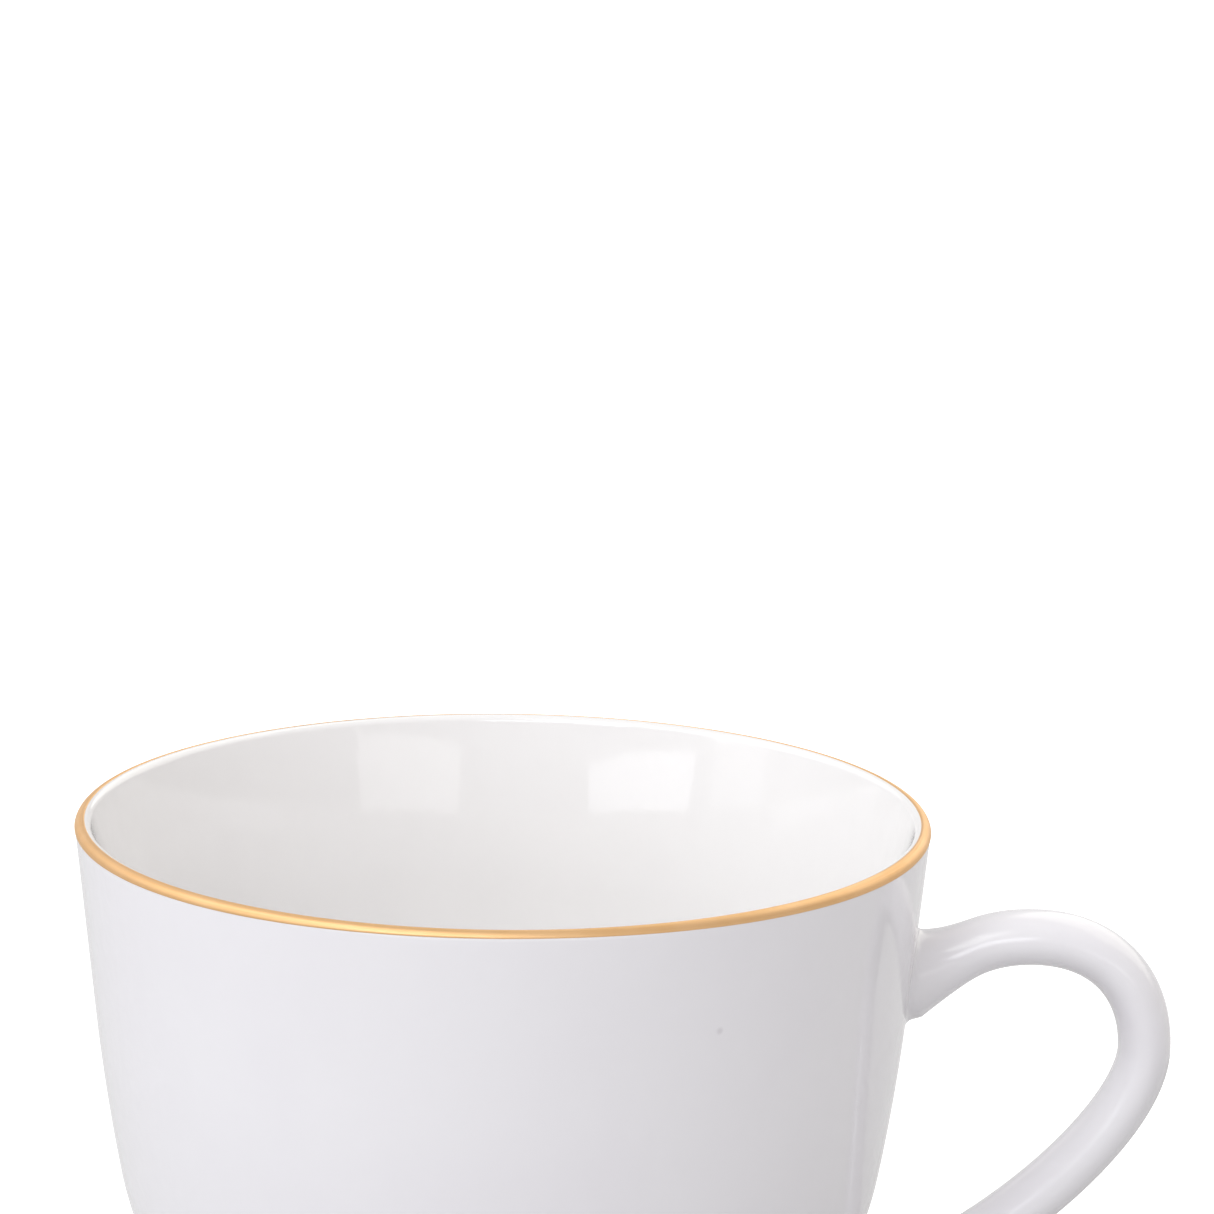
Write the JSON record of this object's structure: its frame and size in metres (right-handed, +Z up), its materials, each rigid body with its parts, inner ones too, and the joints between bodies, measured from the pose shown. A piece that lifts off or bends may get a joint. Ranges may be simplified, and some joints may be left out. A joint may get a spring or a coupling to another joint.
{
  "type": "teacup",
  "caption": "Glazed white porcelain teacup with a steep wall, a rounded base on a foot ring, one looped handle and a gilded lip.",
  "frame": {"origin": "on the cup's axis, in the plane of the foot ring's standing face", "axes": "+Z up along the cup's axis, +X towards the handle, +Y completes a right-handed frame"},
  "size_m": [0.1164, 0.0902, 0.0662],
  "materials": {
    "clay": "matte",
    "slip": "matte",
    "glaze": "gloss",
    "gold": "polished"
  },
  "bodies": {
    "root": {"bowl": "clay", "foot_ring": "clay", "handle": "clay", "foot_joint": "slip", "upper_handle_joint": "slip", "lower_handle_joint": "slip", "inside_glaze": "glaze", "outside_glaze": "glaze", "foot_well_glaze": "glaze", "handle_glaze": "glaze", "rim_gilding": "gold"}
  },
  "joints": []
}
